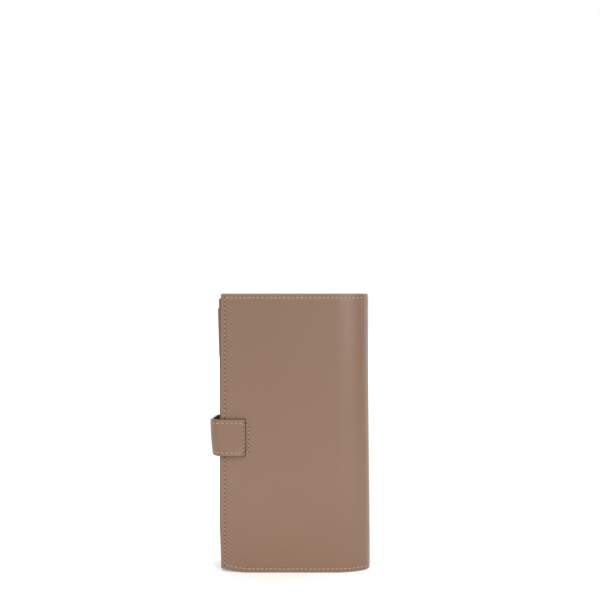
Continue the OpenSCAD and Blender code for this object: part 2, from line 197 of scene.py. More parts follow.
# smooth calf leather with a sprayed satin finish: almost no grain, and a soft broad sheen
# (its pores are really about 0.3 mm apart, and are drawn 0.9 mm apart so that they show)
calfLeather = leatherMaterial("sprayedCalfLeather", {
    "dark": "664B38", "light": "6A4F3C", "edge": "765B48", "edgeWear": 0.4,
    "blotch": 45, "pore": 0.9, "wrinkle": 6, "grain": 0.16, "creasing": 0.12,
    "roughness": 0.46, "specular": 0.42, "sheen": 0.14, "sheenTint": "FFFFFF",
    "coat": 0.45, "coatRoughness": 0.33})

# thinner split of the same hide for the pockets, a little drier
pocketLeather = leatherMaterial("skivedPocketLeather", {
    "dark": "664C3A", "light": "6D523F", "edge": "604838", "edgeWear": 0.6,
    "blotch": 22, "pore": 0.8, "wrinkle": 4, "grain": 0.3, "creasing": 0.2,
    "roughness": 0.56, "specular": 0.38, "sheen": 0.02, "sheenTint": "FFFFFF",
    "coat": 0.1, "coatRoughness": 0.4})

# goat suede glued in as the lining: dull and slightly furry, and darker than the suede's own tone, with
# painted shade for the shadow inside the tab's loop
suedeLiningAndShade = leatherMaterial("brushedSuedeLiningAndShade", {
    "dark": "3D2C22", "light": "4B382C", "edge": "35271E", "edgeWear": 0.5,
    "blotch": 9, "pore": 0.6, "wrinkle": 1.6, "grain": 0.8, "creasing": 0.6,
    "roughness": 0.86, "specular": 0.12, "sheen": 0.25, "sheenTint": "9A7860",
    "coat": 0.0, "coatRoughness": 0.5})


def edgePaintMaterial(name, dull, pale):
    material, tree, shader = newMaterial(name)
    coords = addNode(tree, "ShaderNodeTexCoord").outputs["Object"]
    brushed = addNode(tree, "ShaderNodeTexNoise", inputs={
        "Vector": coords, "Scale": 1 / (1.5 * mm), "Detail": 3.0})
    tone = addNode(tree, "ShaderNodeMix", {"data_type": "RGBA"}, {
        0: brushed.outputs["Fac"], 6: paint(dull), 7: paint(pale)})
    relief = addNode(tree, "ShaderNodeBump", inputs={
        "Height": brushed.outputs["Fac"], "Strength": 0.35, "Distance": 0.08 * mm})
    setSockets(tree, shader, {"Base Color": tone.outputs[2], "Normal": relief.outputs[0],
                              "Roughness": 0.42, "IOR": 1.5})
    return material


def threadMaterial():
    # bonded polyester thread, three plies twisted and waxed: paler than the leather, slight gloss
    material, tree, shader = newMaterial("waxedPolyesterThread")
    coords = addNode(tree, "ShaderNodeTexCoord").outputs["UV"]
    plies = addNode(tree, "ShaderNodeTexWave", {"wave_type": "BANDS", "bands_direction": "DIAGONAL"}, {
        "Vector": coords, "Scale": bandsPerMm(0.55), "Distortion": 0.4})
    tone = addNode(tree, "ShaderNodeMix", {"data_type": "RGBA"}, {
        0: plies.outputs["Fac"], 6: paint("8A7060"), 7: paint("A88F7C")})
    relief = addNode(tree, "ShaderNodeBump", inputs={
        "Height": plies.outputs["Fac"], "Strength": 0.6, "Distance": 0.06 * mm})
    setSockets(tree, shader, {"Base Color": tone.outputs[2], "Normal": relief.outputs[0],
                              "Roughness": 0.5, "IOR": 1.5})
    return material


def holeShadeMaterial():
    # painted shade: a near-black disc round each needle hole, standing in for the shade inside the hole
    material, tree, shader = newMaterial("needleHolePaintedShade")
    coords = addNode(tree, "ShaderNodeTexCoord").outputs["Object"]
    fibres = addNode(tree, "ShaderNodeTexNoise", inputs={
        "Vector": coords, "Scale": 1 / (0.3 * mm), "Detail": 2.0})
    tone = addNode(tree, "ShaderNodeMix", {"data_type": "RGBA"}, {
        0: fibres.outputs["Fac"], 6: paint("2A1A13"), 7: paint("3A281E")})
    setSockets(tree, shader, {"Base Color": tone.outputs[2], "Roughness": 0.9, "IOR": 1.4})
    return material


def boardMaterial():
    # bonded leather fibre board: pale brown, flecked and dull
    material, tree, shader = newMaterial("bondedFibreBoard")
    coords = addNode(tree, "ShaderNodeTexCoord").outputs["Object"]
    flecks = addNode(tree, "ShaderNodeTexVoronoi", {"feature": "F1"}, {
        "Vector": coords, "Scale": 1 / (1.2 * mm), "Randomness": 1.0})
    felt = addNode(tree, "ShaderNodeTexNoise", inputs={
        "Vector": coords, "Scale": 1 / (0.8 * mm), "Detail": 4.0})
    tone = addNode(tree, "ShaderNodeMix", {"data_type": "RGBA"}, {
        0: flecks.outputs["Distance"], 6: paint("8F7A61"), 7: paint("B49C7E")})
    relief = addNode(tree, "ShaderNodeBump", inputs={
        "Height": felt.outputs["Fac"], "Strength": 0.7, "Distance": 0.1 * mm})
    setSockets(tree, shader, {"Base Color": tone.outputs[2], "Normal": relief.outputs[0],
                              "Roughness": 0.92, "IOR": 1.45})
    return material


def tapeMaterial():
    # woven polyester zip tape: fine crossing threads that shade it in tiny ribs
    material, tree, shader = newMaterial("wovenPolyesterTape")
    coords = addNode(tree, "ShaderNodeTexCoord").outputs["UV"]
    warp = addNode(tree, "ShaderNodeTexWave", {"wave_type": "BANDS", "bands_direction": "X"}, {
        "Vector": coords, "Scale": bandsPerMm(0.7), "Distortion": 0.3})
    weft = addNode(tree, "ShaderNodeTexWave", {"wave_type": "BANDS", "bands_direction": "Y"}, {
        "Vector": coords, "Scale": bandsPerMm(0.5), "Distortion": 0.3})
    weave = addNode(tree, "ShaderNodeMath", {"operation": "MAXIMUM"}, {
        0: warp.outputs["Fac"], 1: weft.outputs["Fac"]})
    tone = addNode(tree, "ShaderNodeMix", {"data_type": "RGBA"}, {
        0: weave.outputs[0], 6: paint("5B473A"), 7: paint("7F6655")})
    relief = addNode(tree, "ShaderNodeBump", inputs={
        "Height": weave.outputs[0], "Strength": 0.8, "Distance": 0.12 * mm})
    setSockets(tree, shader, {"Base Color": tone.outputs[2], "Normal": relief.outputs[0],
                              "Roughness": 0.78, "IOR": 1.5, "Sheen Weight": 0.15})
    return material


def metalMaterial(name, recipe):
    material, tree, shader = newMaterial(name)
    coords = addNode(tree, "ShaderNodeTexCoord").outputs["Object"]
    stretched = addNode(tree, "ShaderNodeMapping", inputs={
        "Vector": coords, "Scale": (1, 1, recipe["stretch"])})
    scratches = addNode(tree, "ShaderNodeTexNoise", inputs={
        "Vector": stretched.outputs[0], "Scale": 1 / (recipe["scratch"] * mm), "Detail": 4.0})
    haze = addNode(tree, "ShaderNodeTexNoise", inputs={
        "Vector": coords, "Scale": 1 / (recipe["haze"] * mm), "Detail": 2.0})
    tone = addNode(tree, "ShaderNodeMix", {"data_type": "RGBA"}, {
        0: haze.outputs["Fac"], 6: paint(recipe["dull"]), 7: paint(recipe["bright"])})
    gloss = addNode(tree, "ShaderNodeMapRange", inputs={
        "Value": scratches.outputs["Fac"], "From Min": 0.3, "From Max": 0.7,
        "To Min": recipe["roughness"] - 0.06, "To Max": recipe["roughness"] + 0.1})
    relief = addNode(tree, "ShaderNodeBump", inputs={
        "Height": scratches.outputs["Fac"], "Strength": 0.15, "Distance": 0.02 * mm})
    setSockets(tree, shader, {"Base Color": tone.outputs[2], "Roughness": gloss.outputs[0],
                              "Normal": relief.outputs[0], "Metallic": 1.0})
    return material


# cut edges sealed with latex edge paint and rubbed smooth: greyer and smoother than the leather
edgePaint = edgePaintMaterial("rubbedEdgePaint", "644B3D", "7C6555")
# the tab's cut edges in a much darker brown: edge paint with painted shade in it, for the shadow lines
# along the strap's top and lower edges and the shade inside its loop
tabEdgePaintAndShade = edgePaintMaterial("darkTabEdgePaintAndShade", "33241B", "443227")
thread = threadMaterial()
needleHoleShade = holeShadeMaterial()
fibreBoard = boardMaterial()
zipTape = tapeMaterial()

# polished brass under clear lacquer: warm, bright, with faint handling marks
brass = metalMaterial("lacqueredBrass", {
    "dull": "B8935A", "bright": "DDB978", "scratch": 0.25, "haze": 5, "stretch": 1, "roughness": 0.24})

# tempered spring steel, nickel plated and barrelled: grey and evenly satin
springSteel = metalMaterial("nickelPlatedSteel", {
    "dull": "8D8B88", "bright": "B9B7B2", "scratch": 0.2, "haze": 4, "stretch": 4, "roughness": 0.34})

print("materials ready")


def layPath(start, heading, pieces, outward):
    # the line that a sheet follows, seen from above
    # pieces are (length, turn in degrees); outward is 1 where the outer face is on the right
    return {"start": start, "heading": heading, "pieces": pieces, "outward": outward,
            "length": sum(length for length, turn in pieces)}


def along(path, distance):
    # point on the path, seen from above, and the direction out of its outer face
    x, y = path["start"]
    angle = math.radians(path["heading"])
    last = len(path["pieces"]) - 1
    for i, (length, turn) in enumerate(path["pieces"]):
        step = distance if i == last else min(distance, length)
        swing = math.radians(turn) * step / length
        if turn == 0:
            x += step * math.cos(angle)
            y += step * math.sin(angle)
        else:
            radius = length / math.radians(turn)
            x += radius * (math.sin(angle + swing) - math.sin(angle))
            y -= radius * (math.cos(angle + swing) - math.cos(angle))
            angle += swing
        distance -= step
        if distance <= 0:
            break
    return Vector((x, y, 0)), Vector((math.sin(angle), -math.cos(angle), 0)) * path["outward"]


allCut = (True, True, True, True)
freeAtLow = (True, False, True, True)   # cut but for the side at high s, where the next sheet goes on
freeAtHigh = (False, True, True, True)
# millimetres from a sheet's edge to its first lines, which are closest at the rounding and the stitches
edgeSteps = (0, 0.06, 0.16, 0.3, 0.48, 0.7, 1.0, 1.4, 1.85, 2.25, 2.5, 2.7, 2.9, 3.2, 3.7, 4.5, 5.6)
closestLines = 0.04
wornWidth = 0.9      # millimetres in from an edge that the leather is rubbed
paintedShare = 0.45  # of an edge's rounding that the edge paint covers


def gridLines(low, high, step, also=()):
    # places for a sheet's rows, closer together at its edges and at the places in also
    count = max(2, round((high - low) / step))
    lines = [low + (high - low) * i / count for i in range(1, count)]
    lines = [v for v in lines if min(v - low, high - v) > edgeSteps[-1]]
    for offset in edgeSteps:
        if offset < (high - low) / 2:
            lines += [low + offset, high - offset]
    lines = sorted(lines + [v for v in also if low < v < high])
    kept = [lines[0]]
    for v in lines[1:]:
        if v - kept[-1] > closestLines:
            kept.append(v)
    kept[-1] = high
    return kept


def curl(distance, radius):
    # how far a rounded edge falls away at this distance from the cut
    if radius <= 0 or distance >= radius:
        return 0
    return radius - math.sqrt(max(0, radius ** 2 - (radius - distance) ** 2))


def makeSheet(name, face, sRange, zRange, cut, cutEdges, materials, alsoAcross=(), alsoUp=()):
    # face(s, z) gives a point on the outer face and the direction out of it
    # cut holds thickness, roundOut, roundIn, cornerRadius, and steps: millimetres between mesh lines
    # cutEdges says which of the four sides are cut: low s, high s, low z, high z
    (sLow, sHigh), (zLow, zHigh) = sRange, zRange
    across = gridLines(sLow, sHigh, cut["steps"][0], alsoAcross)
    up = gridLines(zLow, zHigh, cut["steps"][1], alsoUp)
    far = 1e6
    radius = cut.get("cornerRadius", 0)
    points, uvs, nearEdge, distances = [], [], [], []
    for s in across:
        for z in up:
            fromS = [s - sLow if cutEdges[0] else far, sHigh - s if cutEdges[1] else far]
            fromZ = [z - zLow if cutEdges[2] else far, zHigh - z if cutEdges[3] else far]
            ds, dz = min(fromS), min(fromZ)
            roundedS, roundedZ = s, z
            if ds < radius and dz < radius:
                u, v = 1 - ds / radius, 1 - dz / radius
                moveS = radius * u * (1 - math.sqrt(1 - v * v / 2))
                moveZ = radius * v * (1 - math.sqrt(1 - u * u / 2))
                roundedS = s + moveS if fromS[0] <= fromS[1] else s - moveS
                roundedZ = z + moveZ if fromZ[0] <= fromZ[1] else z - moveZ
            point, normal = face(roundedS, roundedZ)
            distance = min(ds, dz)
            distances.append(distance)
            points.append(point - normal * curl(distance, cut["roundOut"]))
            points.append(point - normal * (cut["thickness"] - curl(distance, cut["roundIn"])))
            uvs += [(roundedS, roundedZ)] * 2
            nearEdge += [math.exp(-distance / wornWidth)] * 2

    rows = len(up)

    def corner(i, j, inner):
        return 2 * (i * rows + j) + inner

    firstNormal = face((across[0] + across[1]) / 2, (up[0] + up[1]) / 2)[1]
    alongS = face(across[1], up[0])[0] - face(across[0], up[0])[0]
    outwards = alongS.cross(Vector((0, 0, 1))).dot(firstNormal) > 0
    faces, kinds = [], []
    for i in range(len(across) - 1):
        for j in range(rows - 1):
            outer = [corner(i, j, 0), corner(i + 1, j, 0), corner(i + 1, j + 1, 0), corner(i, j + 1, 0)]
            inner = [v + 1 for v in reversed(outer)]
            nearest = min(distances[v // 2] for v in outer)
            faces += [outer, inner]
            kinds += [1 if nearest < paintedShare * cut["roundOut"] else 0,
                      1 if nearest < paintedShare * cut["roundIn"] else 2]
    rims = [[(0, j) for j in reversed(range(rows))],
            [(len(across) - 1, j) for j in range(rows)],
            [(i, 0) for i in range(len(across))],
            [(i, rows - 1) for i in reversed(range(len(across)))]]
    for rim, isCut in zip(rims, cutEdges):
        if isCut:
            for (i0, j0), (i1, j1) in zip(rim, rim[1:]):
                faces.append([corner(i0, j0, 0), corner(i0, j0, 1), corner(i1, j1, 1), corner(i1, j1, 0)])
                kinds.append(1)
    if not outwards:
        faces = [list(reversed(f)) for f in faces]
    return buildMesh(name, points, faces, materials, kinds, uvs, nearEdge)


sewing = {
    "pitch": 3.0,
    "thread": 0.27,           # radius
    "lift": 0.12,             # of a stitch's middle over the leather
    "sink": 0.1,              # of its ends below it
    "slant": 0.3,
    "wobble": 0.04,
    "hole": 0.34,             # radius, across the row
    "holeStretch": 1.25,      # that it is longer along the row
    "dish": 0.015,            # height of its middle, so that it shows on the leather
    "rim": 0.03,
    "tightThread": 0.62,      # upright rows are pulled tighter, so the thread is slimmer
    "tightHole": 1.5,         # and the holes show more
    "ringPoints": 8,
    "stitchSteps": (0.02, 0.12, 0.3, 0.5, 0.7, 0.88, 0.98),
}


def sewRows(name, face, rows):
    # rows are pairs of (s, z) places on the face; each becomes a line of stitches and needle holes
    points, faces, kinds, uvs = [], [], [], []
    ring = sewing["ringPoints"]

    def place(s, z, height):
        point, normal = face(s, z)
        return point + normal * height, normal

    for (s0, z0), (s1, z1) in rows:
        length = math.hypot(s1 - s0, z1 - z0)
        count = max(1, round(length / sewing["pitch"]))
        ds, dz = (s1 - s0) / length, (z1 - z0) / length
        upright = abs(dz) > abs(ds)
        hole = sewing["hole"] * (sewing["tightHole"] if upright else 1)
        plump = sewing["tightThread"] if upright else 1
        for k in range(count + 1):
            # needle hole, drawn as a shallow dish in the near-black of its painted shade
            s, z = s0 + (s1 - s0) * k / count, z0 + (z1 - z0) * k / count
            base = len(points)
            points.append(place(s, z, sewing["dish"])[0])
            uvs.append((s, z))
            for i in range(ring):
                turn = 2 * math.pi * i / ring
                a, b = hole * sewing["holeStretch"] * math.cos(turn), hole * math.sin(turn)
                points.append(place(s + a * ds - b * dz, z + a * dz + b * ds, sewing["rim"])[0])
                uvs.append((s, z))
            normal = place(s, z, 0)[1]
            firstSpoke, nextSpoke = points[base + 1] - points[base], points[base + 2] - points[base]
            turnsOut = firstSpoke.cross(nextSpoke).dot(normal) > 0
            for i in range(ring):
                triangle = [base, base + 1 + i, base + 1 + (i + 1) % ring]
                faces.append(triangle if turnsOut else list(reversed(triangle)))
                kinds.append(1)
        for k in range(count):
            # one stitch, which rises out of one hole and sinks into the next
            wobble = random.uniform(-sewing["wobble"], sewing["wobble"])
            rings = []
            for t in sewing["stitchSteps"]:
                share = (k + 0.06 + 0.88 * t) / count
                side = (t - 0.5) * sewing["slant"] + wobble
                s = s0 + (s1 - s0) * share - dz * side
                z = z0 + (z1 - z0) * share + ds * side
                arch = math.sin(math.pi * t)
                height = sewing["lift"] * arch ** 0.5 - sewing["sink"] * (1 - arch)
                centre, normal = place(s, z, height)
                thick = plump * sewing["thread"] * (0.7 + 0.3 * arch)
                rings.append((centre, normal, thick, t * length / count))
            base = len(points)
            direction = (rings[-1][0] - rings[0][0]).normalized()
            for centre, normal, thick, run in rings:
                sideways = direction.cross(normal)
                for i in range(ring):
                    turn = 2 * math.pi * i / ring
                    points.append(centre + normal * (0.8 * thick * math.cos(turn))
                                  + sideways * (thick * math.sin(turn)))
                    uvs.append((run, i * 0.2))
            for r in range(len(rings) - 1):
                for i in range(ring):
                    j = (i + 1) % ring
                    a, b = base + r * ring, base + (r + 1) * ring
                    faces.append([a + i, a + j, b + j, b + i])
                    kinds.append(0)
            faces.append([base + i for i in reversed(range(ring))])
            faces.append([base + (len(rings) - 1) * ring + i for i in range(ring)])
            kinds += [0, 0]
    return buildMesh(name, points, faces, [thread, needleHoleShade], kinds, uvs)


def chain(*places):
    # a row of stitches from each place to the next
    return list(zip(places, places[1:]))


cover = {
    "thickness": 1.4,
    "cornerRadius": 1.2,
    "stitchInset": 2.7,
    "rowGap": 0.8,            # from the strap to the stitches above and below it
    "grooveDepth": 0.16,      # that the stitches pull into the leather
    "grooveWidth": 0.8,
    "edgeFall": 0.25,         # that the pressed edge lies lower than the middle
    "edgeReach": 4,
    "boardSpace": 0.6,        # between the leather and its lining
    "boardThickness": 0.5,
    "boardInset": 3.8,        # the lining closes over the board's edges
    "boardStart": 14,         # from the spine's middle, where the lining starts to rise over it
    "boardRise": 8,
    "rim": 0.8,               # of the lining, flat on the leather
    "glue": 0.02,             # between two layers
    "liningThickness": 0.75,
    "liningInset": 0.5,
    "liningEnd": 0.6,
    "easeLength": 20,         # stretch before the spine where the cover already turns
    "easeTurn": 25,
    "waviness": 0.1,
    "waveWidth": 17,
    "waveHeight": 31,
    "spineLean": 0.6,         # that the spine is fuller at its foot than at its head
    "leanReach": 16,
    "cornerLift": 2.2,        # curl of the back cover's low free corner
    "cornerBow": 1.1,
    "cornerReach": 20,
}


def coverPathPieces():
    # flat, then a slow turn, then the spine, mirrored for the second half
    turn = math.radians(cover["easeTurn"])
    slowRadius = cover["easeLength"] / turn
    tightRadius = (spineRadius - slowRadius * (1 - math.cos(turn))) / math.cos(turn)
    reach = slowRadius * math.sin(turn) + tightRadius * (1 - math.sin(turn))
    flat = spineX - edgeX - reach
    rest = 90 - cover["easeTurn"]
    half = [(flat, 0), (cover["easeLength"], cover["easeTurn"]),
            (tightRadius * math.radians(rest), rest)]
    return half + list(reversed(half))


coverPath = layPath((edgeX, backY), 0, coverPathPieces(), 1)
spineMiddle = coverPath["length"] / 2


def coverFace(s, z, depth=0.0):
    point, normal = along(coverPath, s)
    fromEdge = min(s, coverPath["length"] - s, z, coverHeight - z)
    rise = -cover["grooveDepth"] * bell(fromEdge - cover["stitchInset"], cover["grooveWidth"])
    rise -= cover["edgeFall"] * ease(1 - fromEdge / cover["edgeReach"])
    flatShare = ease(min(s, coverPath["length"] - s) / 12) * ease(min(z, coverHeight - z) / 12)
    waves = math.sin(s / cover["waveWidth"] + 0.6) * math.sin(z / cover["waveHeight"] + 1.1)
    rise += cover["waviness"] * flatShare * (waves - 0.4)
    fuller = 1 - 2 * ease(z / coverHeight)
    rise += cover["spineLean"] * bell(s - spineMiddle, cover["leanReach"]) * fuller
    lift = 0
    if s < spineMiddle:
        reach = cover["cornerReach"]
        rise -= cover["cornerBow"] * ease(1 - s / reach) * ease(1 - z / (2.2 * reach))
        lift = cover["cornerLift"] * ease(1 - s / reach) * ease(1 - z / (3 * reach))
    point = point + normal * (rise - depth)
    point.z = z + lift
    return point, normal


# the tab's sizes come here, because the slit in the back cover needs them too
rootLow = corners("tab_root")[0]
tipLow, tipHigh = corners("tab_tip")
strapLow, strapHigh = tipLow.z, tipHigh.z
strapMiddle = (strapLow + strapHigh) / 2

tab = {
    "leather": 1.1,
    "lining": 0.9,
    "shoulder": 1.1,          # radius where the strap dives into the slit
    "dive": 1.6,
    "stitchInset": 2.6,
    "rowStart": 0.3,          # from the shoulder to the first column of stitches
    "crown": 0.18,            # that the strap swells between its rows of stitches
    "grooveDepth": 0.14,
    "grooveWidth": 0.8,
    "edgeFall": 0.12,
    "edgeReach": 2.6,
    "cornerRadius": 3,
    "taper": 0.9,             # that each edge runs in by at the far side
    "droop": 0.7,
    "bulge": 1.5,             # that the loop swells out of the open edge at its top
    "bulgeFoot": -0.65,       # and at its foot, where it lies flatter
    "stand": 1.5,             # gap that opens under its lower edge
    "footRise": 0.5,          # that this edge is cut higher than the slit's end
}
slit = {
    "x": corners("tab_root_lining")[1].x + 1,
    "width": 1,
    "gap": 0.04,              # open beside the strap
    "depth": 0.7,
    "lip": 0.32,              # the lip stands up, as the strap's end is sewn behind it
    "lipRise": 2,
    "lipReach": 5,
    "lipFade": 3,
    "low": strapLow + 0.9,
    "high": strapHigh - 0.4,
    "columnIn": 2.3,          # from the slit to the column of stitches beside it
    "columnFoot": 3.2,        # from the strap's edges to that column's ends
    "columnTop": 5.4,
    "linkIn": 0.5,            # from the slit to the two stitches that join it to the strap's
}
sharp = 0.06                  # between the two mesh lines at a sharp step


def slitShape(s, z):
    # trench of the slit and the swell over the strap's end behind it
    beyond = edgeX + s - slit["x"]
    inside = min(z - slit["low"], slit["high"] - z)
    if inside < 0 or beyond < -slit["width"]:
        return 0
    if beyond < slit["gap"]:
        return -slit["depth"]
    swell = slit["lip"] * ease(inside / slit["lipRise"])
    return swell * (1 - ease((beyond - slit["lipReach"]) / slit["lipFade"]))


def backCoverFace(s, z):
    point, normal = coverFace(s, z)
    return point + normal * slitShape(s, z), normal


leather = [calfLeather, edgePaint, suedeLiningAndShade]
shellCut = {"thickness": cover["thickness"], "cornerRadius": cover["cornerRadius"],
            "roundOut": 0.6, "roundIn": 0.4, "steps": (2.2, 4)}
slitS = slit["x"] - edgeX
slitLines = [slitS - slit["width"] - sharp, slitS - slit["width"] + sharp,
             slitS + slit["gap"] - sharp, slitS + slit["gap"] + sharp,
             slitS + 2, slitS + 2.5, slitS + 3]
slitRows = [slit["low"] - sharp, slit["low"] + sharp, slit["high"] - sharp, slit["high"] + sharp]
backLeather = makeSheet("backLeather", backCoverFace, (0, spineMiddle), (0, coverHeight),
                        shellCut, freeAtLow, leather, slitLines, slitRows)
frontLeather = makeSheet("frontLeather", coverFace, (spineMiddle, coverPath["length"]),
                         (0, coverHeight), shellCut, freeAtHigh, leather)


def liningFace(s, z):
    # the lining lies behind the board, and on the leather round the spine and all along the edges
    fromSpine = abs(s - spineMiddle)
    fromEdge = min(s, coverPath["length"] - s, z, coverHeight - z)
    overBoard = ease((fromSpine - cover["boardStart"]) / cover["boardRise"])
    overBoard *= ease((fromEdge - cover["rim"]) / 3)
    return coverFace(s, z, cover["thickness"] + cover["glue"] + cover["boardSpace"] * overBoard)


suede = [suedeLiningAndShade, edgePaint, suedeLiningAndShade]
liningCut = {"thickness": cover["liningThickness"], "roundOut": 0.2, "roundIn": 0.5, "steps": (3, 5)}
liningRange = (cover["liningEnd"], coverHeight - cover["liningEnd"])
backLining = makeSheet("backLiningSuede", liningFace, (cover["liningInset"], spineMiddle),
                       liningRange, liningCut, freeAtLow, suede)
frontLining = makeSheet("frontLiningSuede", liningFace,
                        (spineMiddle, coverPath["length"] - cover["liningInset"]),
                        liningRange, liningCut, freeAtHigh, suede)


def boardFace(s, z):
    return coverFace(s, z, cover["thickness"] + cover["glue"])


boardCut = {"thickness": cover["boardThickness"], "cornerRadius": 1.5,
            "roundOut": 0.1, "roundIn": 0.1, "steps": (4, 6)}


def makeBoard(node, name, low, high, body):
    upright = (cover["boardInset"], coverHeight - cover["boardInset"])
    board = makeSheet(name, boardFace, (low, high), upright, boardCut, allCut, [fibreBoard] * 3)
    settle(board, [node], body)


boardReach = foldX - edgeX - cover["easeLength"] / 2
makeBoard("back_board", "backBoard", cover["boardInset"], boardReach, "back_half")
makeBoard("front_board", "frontBoard", coverPath["length"] - boardReach,
          coverPath["length"] - cover["boardInset"], "front_half")

inset = cover["stitchInset"]
topRow = coverHeight - inset
farColumn = coverPath["length"] - inset
slitColumn = slitS + slit["gap"] + slit["columnIn"]
columnHigh, columnLow = strapHigh - slit["columnTop"], strapLow + slit["columnFoot"]
linkStart = slitS + slit["linkIn"]
backStitches = sewRows("backCoverStitches", backCoverFace, [
    *chain((spineMiddle, topRow), (inset, topRow), (inset, strapHigh + cover["rowGap"])),
    *chain((inset, strapLow - cover["rowGap"]), (inset, inset), (spineMiddle, inset)),
    ((slitColumn, columnHigh), (slitColumn, columnLow)),
    ((linkStart, strapHigh - 3.2), (slitColumn, columnHigh)),
    ((linkStart, columnLow - 0.4), (slitColumn, columnLow)),
])
frontStitches = sewRows("frontCoverStitches", coverFace, chain(
    (spineMiddle, topRow), (farColumn, topRow), (farColumn, inset), (spineMiddle, inset)))

foldBetween((backLeather, backLining, backStitches))
foldBetween((frontLeather, frontLining, frontStitches))
settle(backLeather, ["back_cover", "spine_leather"])
settle(frontLeather, ["front_cover"])
settle(backLining, ["back_lining", "spine_lining"])
settle(frontLining, ["front_lining"])
settle(backStitches, ["back_thread"])
settle(frontStitches, ["front_thread"])

print("covers sewn")


loopX = corners("tab_side")[0].x
strapBackY, strapFrontY = rootLow.y, tipHigh.y
bendRadius = edgeX - loopX
quarter = math.pi / 2
tabPath = layPath((slit["x"], strapBackY + tab["dive"] + tab["shoulder"]), -90, [
    (tab["dive"], 0),
    (tab["shoulder"] * quarter, -90),
    (slit["x"] - tab["shoulder"] - edgeX, 0),
    (bendRadius * quarter, -90),
    (strapFrontY - strapBackY - 2 * bendRadius, 0),
    (bendRadius * quarter, -90),
    (tipHigh.x - edgeX, 0),
], -1)
loopStart = sum(length for length, turn in tabPath["pieces"][:3])
loopEnd = sum(length for length, turn in tabPath["pieces"][:6])
loopMiddle = (loopStart + loopEnd) / 2
shoulderEnd = tab["dive"] + tab["shoulder"] * quarter


def tabFace(s, z, depth=0.0):
    point, normal = along(tabPath, s)
    fromMiddle = abs(z - strapMiddle) / (strapMiddle - strapLow)
    fromEdge = min(strapHigh - z, z - strapLow, tabPath["length"] - s)
    rise = tab["crown"] * (1 - fromMiddle ** 2) * ease((s - shoulderEnd) / 4)
    rise -= tab["grooveDepth"] * bell(fromEdge - tab["stitchInset"], tab["grooveWidth"])
    rise -= tab["edgeFall"] * ease(1 - fromEdge / tab["edgeReach"])
    around = ease((s - loopStart + 6) / (loopEnd - loopStart))
    height = (z - strapLow) / (strapHigh - strapLow)
    swell = tab["bulge"] + (tab["bulgeFoot"] - tab["bulge"]) * (1 - height) ** 1.5
    onLoop = ease((s - loopStart + 1) / 6) * ease((loopEnd + 1 - s) / 6)
    rise += swell * onLoop * (0.45 + 0.55 * bell(s - loopMiddle + 3, 9))
    onStrap = ease((s - shoulderEnd) / 3) * ease((loopStart + 4 - s) / 8)
    rise += tab["stand"] * onStrap * ease(0.6 + (3 - (z - strapLow)) / 8)
    point = point + normal * (rise - depth)
    point.z = strapMiddle + (z - strapMiddle) * (1 - tab["taper"] * around / (strapMiddle - strapLow))
    point.z += tab["footRise"] * (1 - height) - tab["droop"] * around
    return point, normal


def tabLiningFace(s, z):
    return tabFace(s, z, tab["leather"])


# the tab's edges take the darker edge paint, which holds painted shade
strapLeather = [calfLeather, tabEdgePaintAndShade, suedeLiningAndShade]
strapSuede = [suedeLiningAndShade, tabEdgePaintAndShade, suedeLiningAndShade]
strapCut = {"thickness": tab["leather"], "roundOut": 0.7, "roundIn": 0.08, "steps": (1.2, 2.5)}
strapLiningCut = {"thickness": tab["lining"], "roundOut": 0.08, "roundIn": 0.6, "steps": (1.2, 2.5)}
tipCorners = {"cornerRadius": tab["cornerRadius"]}
strapRange, tipRange = (strapLow, strapHigh), (loopMiddle, tabPath["length"])
tabBackLeather = makeSheet("tabBackLeather", tabFace, (0, loopMiddle), strapRange,
                           strapCut, (False, False, True, True), strapLeather)
tabFrontLeather = makeSheet("tabFrontLeather", tabFace, tipRange, strapRange,
                            {**strapCut, **tipCorners}, freeAtHigh, strapLeather)
tabBackLining = makeSheet("tabBackLiningSuede", tabLiningFace, (shoulderEnd, loopMiddle), strapRange,
                          strapLiningCut, freeAtLow, strapSuede)
tabFrontLining = makeSheet("tabFrontLiningSuede", tabLiningFace, tipRange, strapRange,
                           {**strapLiningCut, **tipCorners}, freeAtHigh, strapSuede)
rowLow, rowHigh = strapLow + tab["stitchInset"], strapHigh - tab["stitchInset"]
rowStart, rowEnd = shoulderEnd + tab["rowStart"], tabPath["length"] - tab["stitchInset"]
tabBackStitches = sewRows("tabBackStitches", tabFace, [
    ((rowStart, rowHigh), (loopMiddle, rowHigh)),
    ((rowStart, rowHigh), (rowStart, rowLow)),
    ((rowStart, rowLow), (loopMiddle, rowLow)),
])
tabFrontStitches = sewRows("tabFrontStitches", tabFace, chain(
    (loopMiddle, rowHigh), (rowEnd, rowHigh), (rowEnd, rowLow), (loopMiddle, rowLow)))
foldBetween((tabBackLeather, tabBackLining, tabBackStitches))
foldBetween((tabFrontLeather, tabFrontLining, tabFrontStitches))
settle(tabBackLeather, ["tab_root", "tab_side"])
settle(tabFrontLeather, ["tab_tip"])
settle(tabBackLining, ["tab_root_lining", "tab_side_lining"])
settle(tabFrontLining, ["tab_tip_lining"])
settle(tabBackStitches, ["tab_root_thread"])
settle(tabFrontStitches, ["tab_tip_thread"])

print("tab looped")


pocket = {
    "creaseInset": 1.6,       # line pressed beside each mouth with a hot iron
    "creaseDepth": 0.14,
    "creaseWidth": 0.35,
    "swell": 0.1,             # that the wall bows out between its sewn ends
    "setBack": 0.12,          # that leaves room for the swell
    "skived": 0.16,           # that the wall is thinned by
    "seamInset": 2.4,
    "seamEnd": 0.9,           # from a row of stitches to the mouths at its ends
}
pocketCut = {"cornerRadius": 1.5, "roundOut": 0.4, "roundIn": 0.35}
pocketLayers = [pocketLeather, edgePaint, pocketLeather]


